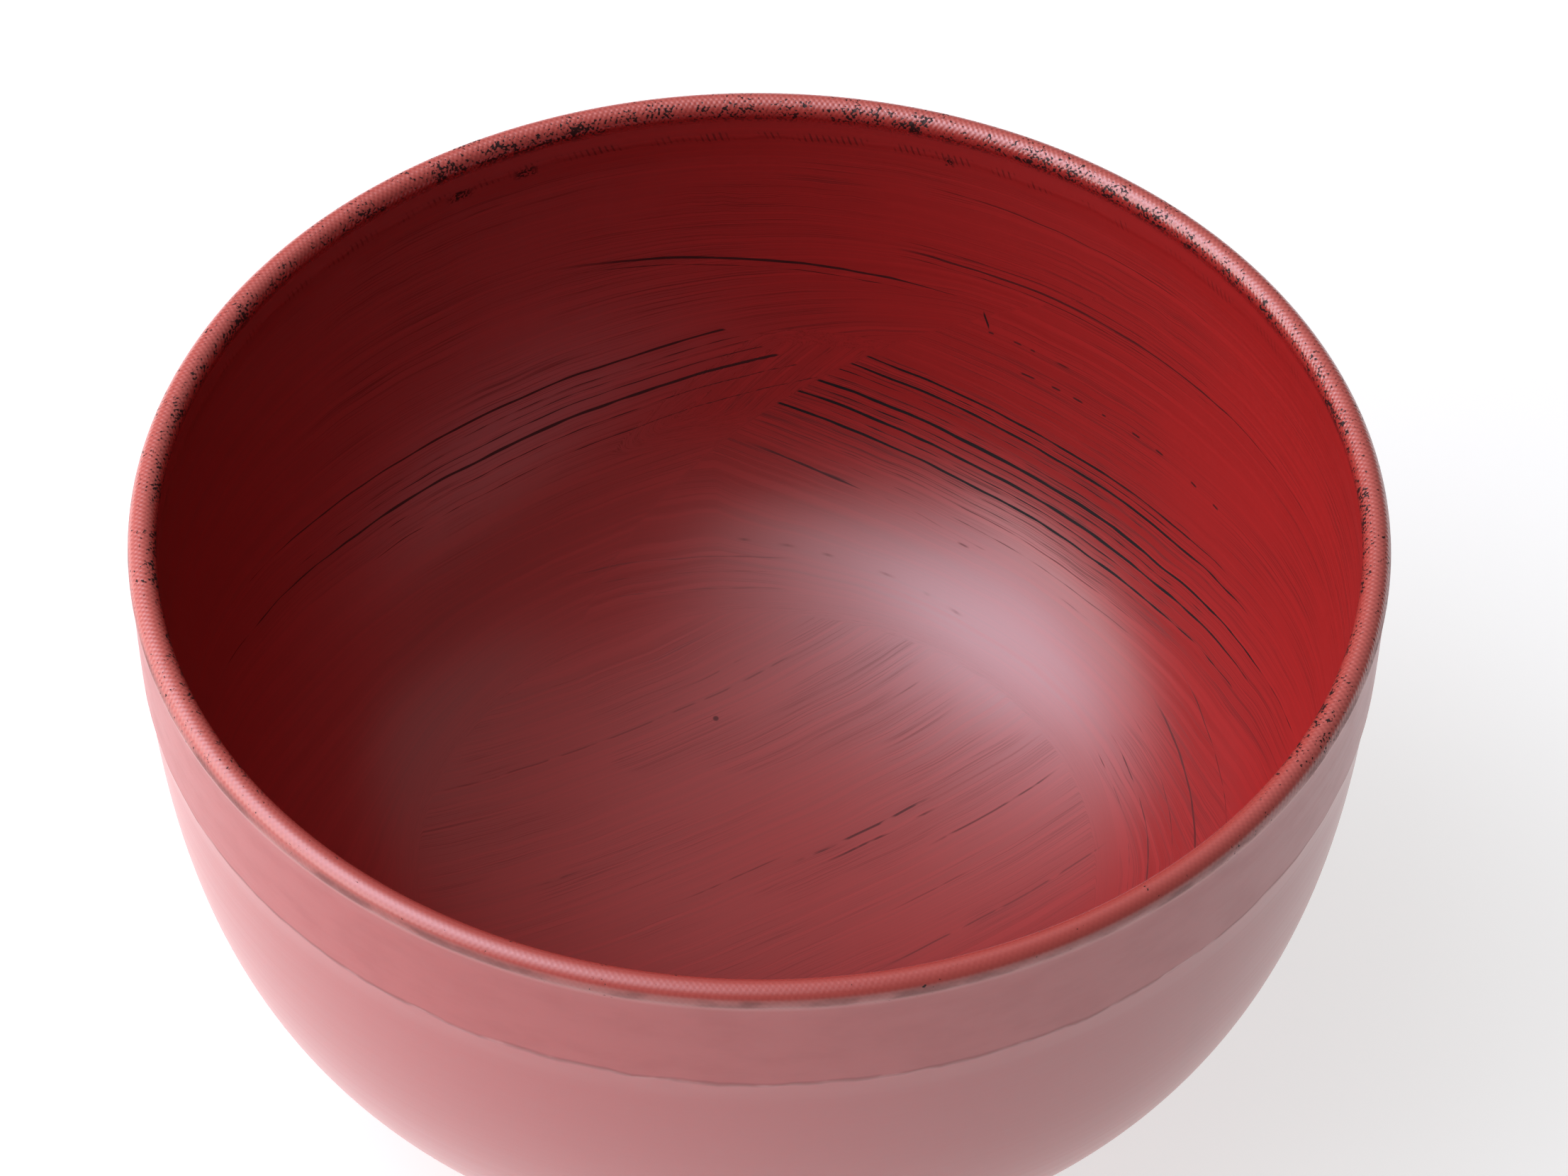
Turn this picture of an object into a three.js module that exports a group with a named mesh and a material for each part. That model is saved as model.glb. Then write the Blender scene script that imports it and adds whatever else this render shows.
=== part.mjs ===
// A turned wooden soup bowl with cloth bound over its lip, lacquered red over black.
// Millimetres, +Z up. The foot stands on z = 0 and the bowl is round about the Z axis.
import * as THREE from "three";

// Overall sizes, over the finished lacquer
const rimDiameter = 120;
const bowlHeight = 70;

// Lip and wall. The wall's outside is one curve that leaves the lip straight down and reaches
// the foot on a shallow slope. The hollow is another, from the lip straight down to the middle of
// a level floor. The pulls are how far each curve keeps the directions at its two ends.
const lipThickness = 2.7;
const lipBead = 0.15; // the rounded lip stands proud of the wall by this on each side
const shoulderPull = 26.7;
const hipPull = 28.3;
const hipSlope = 10.6; // degrees
const hollowPull = 50;
const floorPull = 35;
const floorThickness = 7.5; // finished floor over the well of the foot

// Foot ring
const footTopDiameter = 62;
const footDiameter = 59;
const footHeight = 9;
const footRingWidth = 4.4;
const footWellDepth = 6;
const footChamfer = 0.6;

// Layers over the wood. Depths are measured down from the top of the lip.
const clothThickness = 0.3;
const clothDepthOutside = 12.8;
const clothDepthInside = 4.5;
const fillerWidth = 3; // height over which the putty feathers out a cloth edge
const blackThickness = 0.1;
const topThickness = 0.1;

// Facets round the axis, and steps along each stretch of the outline
const facets = 40;
const hollowSteps = 11;
const wallSteps = 7;
const lipSteps = 8; // even, so that one corner is the crown of the lip
const halvings = 40; // tries that close in on a depth along the wall

const coats = blackThickness + topThickness;
const lipRound = lipThickness / 2 - clothThickness - coats; // radius of the wood's lip
const lipTuck = Math.acos((lipRound - lipBead) / lipRound); // the lip's round goes this far under
const lipCentre = point((rimDiameter - lipThickness) / 2, bowlHeight - lipThickness / 2);
const woodAtLip = 2 * (lipRound - lipBead);
const woodFloor = footWellDepth + floorThickness - coats;
const slope = THREE.MathUtils.degToRad(hipSlope);

const wallTop = onLip(-lipTuck);
const footTop = point(footTopDiameter / 2 - coats, footHeight + coats);
const wallCurve = new THREE.CubicBezierCurve(
  wallTop,
  point(wallTop.x, wallTop.y - shoulderPull),
  point(footTop.x + hipPull * Math.cos(slope), footTop.y + hipPull * Math.sin(slope)),
  footTop,
);
const hollowTop = point(wallTop.x - woodAtLip, wallTop.y);
const hollowCurve = new THREE.CubicBezierCurve(
  hollowTop,
  point(hollowTop.x, hollowTop.y - hollowPull),
  point(floorPull, woodFloor),
  point(0, woodFloor),
);

// A point of an outline: distance from the axis, then height
function point(radius, height) {
  return new THREE.Vector2(radius, height);
}

// The wood's rounded lip, by the angle up from its outermost point
function onLip(angle) {
  return point(Math.cos(angle), Math.sin(angle)).multiplyScalar(lipRound).add(lipCentre);
}

// The two faces of the wood, from the lip at 0 to the foot or the middle of the floor at 1
function outsideWall(place) {
  return wallCurve.getPoint(place);
}

function insideWall(place) {
  return hollowCurve.getPoint(place);
}

// The place on a face of the wall that lies a given depth below the top of the lip
function placeAtDepth(face, depth) {
  let above = 0;
  let below = 1;
  for (let halving = 0; halving < halvings; halving += 1) {
    const middle = (above + below) / 2;
    if (face(middle).y > bowlHeight - depth) above = middle;
    else below = middle;
  }
  return above;
}

// Points of a stretch at even steps, with both ends
function stretch(shape, from, to, steps) {
  return Array.from({ length: steps + 1 }, (_, step) => shape(from + ((to - from) * step) / steps));
}

// The wood's outline from the middle of the floor over the lip to the middle of the foot's well,
// and the numbers of the corners where a layer starts or ends
function woodOutline() {
  const putty = {
    inside: placeAtDepth(insideWall, clothDepthInside + fillerWidth),
    outside: placeAtDepth(outsideWall, clothDepthOutside + fillerWidth),
  };
  const tread = footDiameter / 2 - coats;
  const well = footDiameter / 2 - footRingWidth + coats;
  const corners = [];
  const last = () => corners.length - 1;
  const marks = {};

  corners.push(...stretch(insideWall, 1, putty.inside, hollowSteps));
  marks.puttyInside = last();
  corners.push(insideWall(placeAtDepth(insideWall, clothDepthInside)));
  marks.clothInside = last();
  corners.push(...stretch(onLip, Math.PI + lipTuck, -lipTuck, lipSteps));
  marks.crown = last() - lipSteps / 2;
  corners.push(outsideWall(placeAtDepth(outsideWall, clothDepthOutside)));
  marks.clothOutside = last();
  corners.push(...stretch(outsideWall, putty.outside, 1, wallSteps));
  marks.puttyOutside = last() - wallSteps;
  corners.push(point(tread, coats + footChamfer));
  marks.footEdge = last();
  corners.push(point(tread - footChamfer, coats));
  corners.push(point(well + footChamfer, coats));
  corners.push(point(well, coats + footChamfer));
  corners.push(point(well, footWellDepth + coats));
  corners.push(point(0, footWellDepth + coats));
  marks.wellCentre = last();
  return { corners, marks };
}

// The same outline with every edge moved out by one thickness
function coated(corners, thickness) {
  const edges = corners.slice(1).map((end, i) => end.clone().sub(corners[i]).normalize());
  const outwards = edges.map((edge) => point(-edge.y, edge.x));
  const mirrored = (way) => point(-way.x, way.y);
  return corners.map((corner, i) => {
    const before = outwards[i - 1] ?? mirrored(outwards[i]);
    const after = outwards[i] ?? mirrored(before);
    const both = before.clone().add(after).normalize();
    return corner.clone().addScaledVector(both, thickness / both.dot(before));
  });
}

// The closed outline of a layer that runs from one corner to another, thinning to nothing
// where both faces share a corner
function layer(under, over, from, to) {
  const top = over.slice(from, to + 1).filter((corner) => !under.includes(corner));
  return [...under.slice(from, to + 1), ...top.reverse()];
}

// A round piece from its closed outline, which starts on the axis where it reaches the axis
function turned(name, outline, look) {
  const loop = THREE.ShapeUtils.isClockWise(outline) ? outline.toReversed() : outline;
  const start = loop.findIndex((corner, i) => corner.x === 0 && loop.at(i - 1).x === 0);
  const profile = start < 0 ? [...loop, loop[0]] : [...loop.slice(start), ...loop.slice(0, start)];
  const geometry = new THREE.LatheGeometry(profile, facets);
  geometry.rotateX(Math.PI / 2);
  const mesh = new THREE.Mesh(geometry, new THREE.MeshStandardMaterial(look));
  mesh.name = name;
  return mesh;
}

const wood = woodOutline();
const { puttyInside, clothInside, crown, clothOutside, puttyOutside, footEdge, wellCentre } = wood.marks;
const clothFace = coated(wood.corners, clothThickness);
const ground = wood.corners.map((corner, i) =>
  i >= clothInside && i <= clothOutside ? clothFace[i] : corner,
);
const black = coated(ground, blackThickness);
const finish = coated(black, topThickness);

const woodLook = { color: 0xb58a5c, roughness: 0.7, metalness: 0 };
const clothLook = { color: 0xc9b58e, roughness: 0.9, metalness: 0 };
const puttyLook = { color: 0x4a4038, roughness: 0.85, metalness: 0 };
const blackLook = { color: 0x140f0e, roughness: 0.35, metalness: 0 };
const redLook = { color: 0xa0202a, roughness: 0.35, metalness: 0 };

const bowl = new THREE.Group();
bowl.add(
  turned("wood_core", wood.corners, woodLook),
  turned("rim_cloth", layer(wood.corners, clothFace, clothInside, clothOutside), clothLook),
  turned("rim_filler_inside", layer(wood.corners, ground, puttyInside, clothInside), puttyLook),
  turned("rim_filler_outside", layer(wood.corners, ground, clothOutside, puttyOutside), puttyLook),
  turned("black_coat_inside", layer(ground, black, 0, crown), blackLook),
  turned("black_coat_outside", layer(ground, black, crown, wellCentre), blackLook),
  turned("red_coat_inside", layer(black, finish, 0, crown), redLook),
  turned("red_coat_outside", layer(black, finish, crown, footEdge), redLook),
  turned("foot_coat", layer(black, finish, footEdge, wellCentre), blackLook),
);

export default bowl;
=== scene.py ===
import math

import bpy
import numpy as np
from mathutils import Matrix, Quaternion, Vector


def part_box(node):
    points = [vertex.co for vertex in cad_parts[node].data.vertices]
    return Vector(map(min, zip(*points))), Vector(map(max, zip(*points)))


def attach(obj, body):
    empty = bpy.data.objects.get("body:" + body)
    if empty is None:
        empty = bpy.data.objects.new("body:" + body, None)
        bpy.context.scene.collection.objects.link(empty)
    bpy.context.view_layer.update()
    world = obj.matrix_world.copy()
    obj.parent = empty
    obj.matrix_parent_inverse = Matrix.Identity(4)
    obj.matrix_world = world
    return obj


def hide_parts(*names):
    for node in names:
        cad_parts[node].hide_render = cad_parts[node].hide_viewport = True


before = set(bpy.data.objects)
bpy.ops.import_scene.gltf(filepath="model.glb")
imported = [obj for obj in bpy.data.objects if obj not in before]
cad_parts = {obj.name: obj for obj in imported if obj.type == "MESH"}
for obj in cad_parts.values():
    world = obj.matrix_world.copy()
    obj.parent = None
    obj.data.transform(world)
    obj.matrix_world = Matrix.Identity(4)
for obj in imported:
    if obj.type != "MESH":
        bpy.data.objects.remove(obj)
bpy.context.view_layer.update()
print("frame:", len(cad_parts), "nodes loaded")

mm = 0.001

# Layers over the wood in millimetres
layers = {
    "cloth": 0.3,
    "black": 0.1,
    "red": 0.1,
    "feather": 3.0,           # the putty runs out over this height
    "featherCurve": 1.5,      # and on a hollow curve of this power
}

# Sizes of the bowl in millimetres; the overall ones are read from the frame
bowl = {
    "rimRadius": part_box("red_coat_outside")[1].x / mm,
    "height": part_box("red_coat_outside")[1].z / mm,
    "lipThickness": 2.7,
    "lipBead": 0.15,          # the lip stands proud of the wall by this on each side
    "lipShort": 7.0,          # degrees by which the lip's round stops short of its crease
    "shoulderPull": 26.7,     # how far the wall keeps straight down from the lip
    "hipPull": 28.3,          # how far it keeps the slope on which it meets the foot
    "hipSlope": 10.6,         # degrees
    "hollowPull": 50.0,       # how far the inside keeps straight down from the lip
    "floorPull": 35.0,        # how far it stays level from the middle of the floor
    "floorHeight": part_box("red_coat_inside")[0].z / mm + layers["red"],
    "footTopRadius": 31.0,
    "footRadius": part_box("foot_coat")[1].x / mm,
    "footHeight": 9.0,
    "footRingWidth": 4.4,
    "footWell": 6.0,
    "footRound": 0.6,         # rounding of the tread's two edges
    "footFillet": 2.2,        # soft corner where the wall meets the foot
    "wellRound": 1.2,
}

# The cloth's two cut edges: how far below the top of the lip they lie, the share of the cloth's
# thickness that drops there, and over what height
clothEdges = {
    "outside": {"depth": 12.8, "drop": 0.3, "softness": 0.7},
    "inside": {"depth": 4.5, "drop": 0.15, "softness": 1.0},
}

# How the outlines are drawn: the number of points on each stretch, unless a note says otherwise
outline = {
    "tries": 4001,            # places tried to find a depth on the wall
    "underLip": 0.4,          # millimetres from the lip's crease to the top of the wall
    "aboveEdge": 8,
    "edge": 9,
    "edgeSpread": 0.8,        # how far the points at a cloth edge spread, by its softness
    "edgeGap": 0.2,           # millimetres between them and the next ones
    "feather": 7,
    "wall": 50,
    "lip": 29,
    "fillet": 9,
    "footSide": 5,
    "footRound": 7,
    "well": 9,
    "hiddenEvery": 3,         # a face out of sight keeps one point in so many
}

coats = layers["black"] + layers["red"]
rimBuild = layers["cloth"] + coats
lipRound = bowl["lipThickness"] / 2 - rimBuild
lipCentre = np.array((bowl["rimRadius"], bowl["height"])) - bowl["lipThickness"] / 2
woodAtLip = 2 * (lipRound - bowl["lipBead"])
woodFloor = bowl["floorHeight"] - coats
hipSlope = math.radians(bowl["hipSlope"])


def lipTuck(layer):  # how far the lip's round goes under, in radians
    return math.acos((lipRound - bowl["lipBead"] + layer) / (lipRound + layer))


wallTop = lipCentre + lipRound * np.array((math.cos(lipTuck(0)), -math.sin(lipTuck(0))))
wallFoot = np.array((bowl["footTopRadius"] - coats, bowl["footHeight"] + coats))
wallHandles = (
    wallTop,
    wallTop - np.array((0, bowl["shoulderPull"])),
    wallFoot + bowl["hipPull"] * np.array((math.cos(hipSlope), math.sin(hipSlope))),
    wallFoot,
)
hollowTop = wallTop - np.array((woodAtLip, 0))
hollowHandles = (
    hollowTop,
    hollowTop - np.array((0, bowl["hollowPull"])),
    np.array((bowl["floorPull"], woodFloor)),
    np.array((0, woodFloor)),
)


def curve(handles, places):  # points on a curve from the lip at 0, and the ways out from it
    a, b, c, d = handles
    t = np.asarray(places, float)[:, None]
    point = (1 - t) ** 3 * a + 3 * (1 - t) ** 2 * t * b + 3 * (1 - t) * t ** 2 * c + t ** 3 * d
    along = (1 - t) ** 2 * (b - a) + 2 * (1 - t) * t * (c - b) + t ** 2 * (d - c)
    along /= np.linalg.norm(along, axis=1)[:, None]
    return point, np.column_stack((-along[:, 1], along[:, 0]))


def outsideWood(places):  # down to the foot at 1
    return curve(wallHandles, places)


def insideWood(places):  # down to the middle of the floor at 1
    point, outward = curve(hollowHandles, places)
    return point, -outward


def placesAtDepths(face, depths):
    fine = np.linspace(0, 1, outline["tries"])
    return np.interp(depths, bowl["height"] - face(fine)[0][:, 1], fine)


def ground(depths, edge):  # thickness of cloth and putty at each depth
    past = np.asarray(depths, float) - edge["depth"]
    drop = np.clip(past / edge["softness"] + 0.5, 0, 1)
    drop = drop * drop * (3 - 2 * drop) * edge["drop"]
    run = np.clip(past / layers["feather"], 0, 1)
    return layers["cloth"] * (1 - drop) * (1 - run) ** layers["featherCurve"]


def wallSide(face, edge, layer, clothShare):  # one face, from under the lip down
    under = (lipRound + rimBuild) * math.sin(lipTuck(rimBuild)) + outline["underLip"]
    top = bowl["lipThickness"] / 2 + under
    spread, gap = outline["edgeSpread"], outline["edgeGap"]
    near = edge["depth"] + edge["softness"] * np.linspace(-spread, spread, outline["edge"])
    featherEnd = edge["depth"] + layers["feather"]
    depths = np.concatenate((
        np.linspace(top, near[0] - gap, outline["aboveEdge"]),
        near,
        np.linspace(near[-1] + gap, featherEnd, outline["feather"]),
    ))
    places = placesAtDepths(face, depths)
    places = np.concatenate((places, np.linspace(places[-1], 1, outline["wall"])[1:]))
    wood, outward = face(places)
    build = clothShare * ground(bowl["height"] - wood[:, 1], edge) + layer
    return wood + outward * build[:, None]


def lipOver(layer):  # over the lip from inside to outside, with the crown in the middle
    tuck = lipTuck(layer) - math.radians(bowl["lipShort"])
    angles = np.linspace(math.pi + tuck, -tuck, outline["lip"])
    return lipCentre + (lipRound + layer) * np.column_stack((np.cos(angles), np.sin(angles)))


def bend(start, corner, end, steps):  # a soft corner
    t = np.linspace(0, 1, steps)[:, None]
    start, corner, end = (np.asarray(point, float) for point in (start, corner, end))
    return (1 - t) ** 2 * start + 2 * (1 - t) * t * corner + t ** 2 * end


def footOutside(wall, layer):  # the wall's outside carried on down the foot to its edge
    inset = coats - layer
    top = np.array((bowl["footTopRadius"] - inset, bowl["footHeight"]))
    edge = np.array((bowl["footRadius"] - inset, bowl["footRound"]))
    down = (edge - top) / np.linalg.norm(edge - top)
    beyond = wall[:, 0] > top[0] + bowl["footFillet"]
    kept = wall[beyond | (wall[:, 1] > bowl["height"] / 2)]
    soft = bend(kept[-1], top, top + down * bowl["footFillet"], outline["fillet"])
    return np.concatenate((kept, soft[1:], np.linspace(soft[-1], edge, outline["footSide"])[1:]))


def footUnder(layer):  # from the foot's edge over the tread to the middle of the well
    inset = coats - layer
    outer = bowl["footRadius"] - inset
    inner = bowl["footRadius"] - bowl["footRingWidth"] + inset
    turn, well, wellTurn = bowl["footRound"], bowl["footWell"] + inset, bowl["wellRound"]
    steps = outline["footRound"]
    return np.concatenate((
        bend((outer, turn), (outer, inset), (outer - turn, inset), steps),
        bend((inner + turn, inset), (inner, inset), (inner, turn), steps),
        bend((inner, well - wellTurn), (inner, well), (inner - wellTurn, well), steps),
        np.linspace((inner - wellTurn, well), (0, well), outline["well"])[1:],
    ))


def faces(layer, clothShare=1.0):  # one layer's outline in three stretches: inside, lip, outside
    inside = wallSide(insideWood, clothEdges["inside"], layer, clothShare)[::-1]
    outside = wallSide(outsideWood, clothEdges["outside"], layer, clothShare)
    return inside, lipOver(layer + clothShare * layers["cloth"]), footOutside(outside, layer)


# Modelling: every layer is drawn as a run of extruded points and turned round the bowl's axis
turning = {
    "shown": 336,             # facets of what is seen
    "foot": 168,
    "hidden": 144,            # facets of what lies under it
    "mergeGap": 0.001,        # millimetres
    "smoothAngle": 40,        # degrees between faces that look smooth
}


def turnPiece(name, points, facets, *nodes):
    bpy.ops.object.select_all(action="DESELECT")
    start = (points[0][0] * mm, 0, points[0][1] * mm)
    bpy.ops.mesh.primitive_plane_add(size=mm, location=start)
    piece = bpy.context.object
    piece.name = piece.data.name = name
    bpy.ops.object.transform_apply(location=True)
    bpy.ops.object.mode_set(mode="EDIT")
    bpy.ops.mesh.select_all(action="SELECT")
    bpy.ops.mesh.merge(type="CENTER")
    for here, there in zip(points[:-1], points[1:]):
        step = ((there[0] - here[0]) * mm, 0, (there[1] - here[1]) * mm)
        bpy.ops.mesh.extrude_vertices_move(TRANSFORM_OT_translate={"value": step})
    bpy.ops.object.mode_set(mode="OBJECT")
    turn = piece.modifiers.new("turn", "SCREW")
    turn.angle = math.tau
    turn.steps = turn.render_steps = facets
    turn.use_merge_vertices = True
    turn.merge_threshold = turning["mergeGap"] * mm
    bpy.ops.object.modifier_apply(modifier=turn.name)
    bpy.ops.object.mode_set(mode="EDIT")
    bpy.ops.mesh.select_all(action="SELECT")
    bpy.ops.mesh.remove_doubles(threshold=turning["mergeGap"] * mm)
    bpy.ops.mesh.normals_make_consistent(inside=False)
    bpy.ops.object.mode_set(mode="OBJECT")
    bpy.ops.object.shade_smooth_by_angle(angle=math.radians(turning["smoothAngle"]))
    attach(piece, "root")
    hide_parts(*nodes)
    print("turned:", name, len(piece.data.polygons), "faces")
    return piece


def joined(*stretches):
    return np.concatenate(stretches)


def closed(over, under):  # the outline of a layer between two faces that both start on the axis
    return joined(over, under[::-1])


def ring(over, under):  # the same for a layer that starts off the axis
    return joined(over, under[::-1], over[:1])


def thinned(points):  # fewer points for a face that is out of sight
    return joined(points[:-1:outline["hiddenEvery"]], points[-1:])


redIn, redLip, redOut = faces(coats)
blackIn, blackLip, blackOut = faces(layers["black"])
groundIn, groundLip, groundOut = faces(0)
woodIn, woodLip, woodOut = faces(0, 0.0)
redFoot, blackFoot, woodFoot = (footUnder(layer) for layer in (coats, layers["black"], 0))
crown = len(redLip) // 2

redOver = joined(redIn, redLip, redOut)
blackOver = joined(blackIn, blackLip, blackOut)
redCoat = turnPiece("red_coat", closed(redOver, thinned(blackOver)), turning["shown"],
                    "red_coat_inside", "red_coat_outside")
footCoat = turnPiece("foot_coat_shown", ring(redFoot, blackFoot), turning["foot"], "foot_coat")
blackInside = turnPiece(
    "black_inside",
    closed(joined(blackIn, blackLip[:crown + 1]), joined(groundIn, groundLip[:crown + 1])),
    turning["hidden"], "black_coat_inside")
blackOutside = turnPiece(
    "black_outside",
    ring(joined(blackLip[crown:], blackOut, blackFoot[1:]),
         joined(groundLip[crown:], groundOut, woodFoot[1:])),
    turning["hidden"], "black_coat_outside")
woodCore = turnPiece("wood_body", joined(woodIn, woodLip, woodOut, woodFoot[1:]),
                     turning["hidden"], "wood_core")


def clothStretch(points, low):  # the part of a face that lies above a height
    return points[points[:, 1] > low]


edgeInside = bowl["height"] - clothEdges["inside"]["depth"]
edgeOutside = bowl["height"] - clothEdges["outside"]["depth"]
clothOver, clothUnder = (
    joined(clothStretch(inside, edgeInside), lip, clothStretch(outside, edgeOutside))
    for inside, lip, outside in ((groundIn, groundLip, groundOut), (woodIn, woodLip, woodOut)))
rimCloth = turnPiece("cloth", ring(clothOver, clothUnder), turning["hidden"], "rim_cloth")


def puttyRing(over, under, high):  # what feathers out a cloth edge
    near = (over[:, 1] < high) & (over[:, 1] > high - layers["feather"])
    return ring(over[near], under[near])


puttyInside = turnPiece("putty_inside", puttyRing(groundIn, woodIn, edgeInside),
                        turning["hidden"], "rim_filler_inside")
puttyOutside = turnPiece("putty_outside", puttyRing(groundOut, woodOut, edgeOutside),
                         turning["hidden"], "rim_filler_outside")

# Ragged cloth edges: rows near each edge wander up and down
ragged = {
    "outside": {"edge": edgeOutside, "reach": 2.6, "strength": 0.9, "size": 3.2},
    "inside": {"edge": edgeInside, "reach": 1.6, "strength": 0.7, "size": 2.2},
}
wallLean = 0.12               # how far the wall's middle goes in for each millimetre down


def spotsOn(piece):  # a piece's vertices: distance from the axis and height, in millimetres
    spots = np.array([vertex.co for vertex in piece.data.vertices]) / mm
    return np.hypot(spots[:, 0], spots[:, 1]), spots[:, 2]


def ruffleEdge(piece, side, values):
    radius, height = spotsOn(piece)
    middle = lipCentre[0] - wallLean * (bowl["height"] - height)
    onSide = radius > middle if side == "outside" else radius <= middle
    weight = np.clip(1 - np.abs(height - values["edge"]) / values["reach"], 0, 1) * onSide
    group = piece.vertex_groups.new(name=side)
    for index in np.flatnonzero(weight):
        group.add([int(index)], float(weight[index]), "REPLACE")
    clouds = bpy.data.textures.new("ragged_" + side, "CLOUDS")
    clouds.noise_scale = values["size"] * mm
    wander = piece.modifiers.new("wander", "DISPLACE")
    wander.texture = clouds
    wander.texture_coords = "LOCAL"
    wander.direction = "Z"
    wander.strength = values["strength"] * mm
    wander.vertex_group = group.name
    bpy.ops.object.select_all(action="DESELECT")
    piece.select_set(True)
    bpy.context.view_layer.objects.active = piece
    bpy.ops.object.modifier_apply(modifier=wander.name)


# Reach: millimetres down from the inside crease of the lip, negative over the lip and outside
def reachAlong(points):
    steps = np.linalg.norm(np.diff(points, axis=0), axis=1)
    run = joined([0], np.cumsum(steps))
    return run[len(redIn)] - run


def storeReach(piece):
    away = np.linalg.norm(np.column_stack(spotsOn(piece))[:, None, :] - redOver[None, :, :], axis=2)
    reach = piece.data.attributes.new("reach", "FLOAT", "POINT")
    reach.data.foreach_set("value", redReach[np.argmin(away, axis=1)].astype(np.float32))


redReach = reachAlong(redOver)
storeReach(redCoat)
for side, values in ragged.items():
    ruffleEdge(redCoat, side, values)
reachCrown = float(redReach[len(redIn) + crown])
reachUnderLip = float(redReach[len(redIn) + len(redLip) - 1])
reachEdgeOutside = float(np.interp(-edgeOutside, -redOut[:, 1], redReach[-len(redOut):]))
reachEdgeInside = float(np.interp(-edgeInside, -redIn[::-1][:, 1], redReach[:len(redIn)][::-1]))
reaches = (reachCrown, reachUnderLip, reachEdgeOutside, reachEdgeInside)
print("reach:", [round(value, 2) for value in reaches])


# Materials
class Wire:  # a value on its way through a material; arithmetic on it adds Math nodes
    def __init__(self, paint, socket):
        self.paint, self.socket = paint, socket

    def math(self, operation, *others):
        return self.paint.math(operation, self, *others)

    def __add__(self, other):
        return self.math("ADD", other)

    def __radd__(self, other):
        return self.paint.math("ADD", other, self)

    def __sub__(self, other):
        return self.math("SUBTRACT", other)

    def __rsub__(self, other):
        return self.paint.math("SUBTRACT", other, self)

    def __mul__(self, other):
        return self.math("MULTIPLY", other)

    def __rmul__(self, other):
        return self.paint.math("MULTIPLY", other, self)

    def __truediv__(self, other):
        return self.math("DIVIDE", other)

    def __rtruediv__(self, other):
        return self.paint.math("DIVIDE", other, self)

    def __abs__(self):
        return self.math("ABSOLUTE")

    def most(self, other):
        return self.math("MAXIMUM", other)

    def least(self, other):
        return self.math("MINIMUM", other)

    def rise(self, low, high):  # softly from 0 at low to 1 at high; low may be the larger
        return self.paint.wire("ShaderNodeMapRange", {"interpolation_type": "SMOOTHSTEP"},
                               {"Value": self, "From Min": low, "From Max": high})

    def within(self, low, high, softLow, softHigh):  # 1 between two values, soft at both ends
        return self.rise(low, low + softLow) * self.rise(high, high - softHigh)


class Paint:  # a material or world that is wired up node by node
    def __init__(self, owner):
        owner.use_nodes = True
        self.owner = owner
        self.tree = owner.node_tree
        self.tree.nodes.clear()

    def node(self, kind, settings=None, sockets=None):
        made = self.tree.nodes.new(kind)
        for name, value in (settings or {}).items():
            if name == "stops":
                self.setStops(made.color_ramp.elements, value)
            else:
                setattr(made, name, value)
        for name, value in (sockets or {}).items():
            if isinstance(value, Wire):
                self.tree.links.new(value.socket, made.inputs[name])
            else:
                made.inputs[name].default_value = value
        return made

    def setStops(self, elements, stops):  # the first two stops are the ends
        for element, (position, level) in zip(elements, stops[:2]):
            element.position = position
            element.color = (level, level, level, 1)
        for position, level in stops[2:]:
            elements.new(position).color = (level, level, level, 1)

    def wire(self, kind, settings=None, sockets=None, out=0):
        return Wire(self, self.node(kind, settings, sockets).outputs[out])

    def math(self, operation, *values):
        return self.wire("ShaderNodeMath", {"operation": operation}, dict(enumerate(values)))

    def place(self):  # x, y and z in the bowl's frame, in millimetres
        spot = self.wire("ShaderNodeTexCoord", out="Object")
        parts = self.node("ShaderNodeSeparateXYZ", None, {0: spot})
        return [Wire(self, part) / mm for part in parts.outputs]

    def vector(self, x, y, z):
        return self.wire("ShaderNodeCombineXYZ", None, {0: x, 1: y, 2: z})

    def scaled(self, vector, scale):
        return self.wire("ShaderNodeVectorMath", {"operation": "MULTIPLY"}, {0: vector, 1: scale})

    def noise(self, vector, detail=1.0, roughness=0.5):
        return self.wire("ShaderNodeTexNoise", None, {
            "Vector": vector, "Scale": 1.0, "Detail": detail, "Roughness": roughness})

    def ramp(self, value, stops):  # levels at places between 0 and 1
        return self.wire("ShaderNodeValToRGB", {"stops": stops}, {0: value})

    def blend(self, share, first, second):  # two colours
        return self.wire("ShaderNodeMix", {"data_type": "RGBA"},
                         {0: share, 6: first, 7: second}, 2)

    def blendVector(self, share, first, second):
        return self.wire("ShaderNodeMix", {"data_type": "VECTOR"},
                         {0: share, 4: first, 5: second}, 1)

    def surface(self, sockets, dullShare=None, dullRoughness=1.0):  # dull by a share, if given
        shade = self.wire("ShaderNodeBsdfPrincipled", None, sockets)
        if dullShare:
            dull = self.wire("ShaderNodeBsdfPrincipled", None, {
                "Base Color": sockets["Base Color"], "Roughness": dullRoughness,
                "Specular IOR Level": 0.0})
            shade = self.wire("ShaderNodeMixShader", None, {0: dullShare, 1: shade, 2: dull})
        self.node("ShaderNodeOutputMaterial", None, {0: shade})
        return self.owner


def newPaint(name):
    return Paint(bpy.data.materials.new(name))


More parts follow.
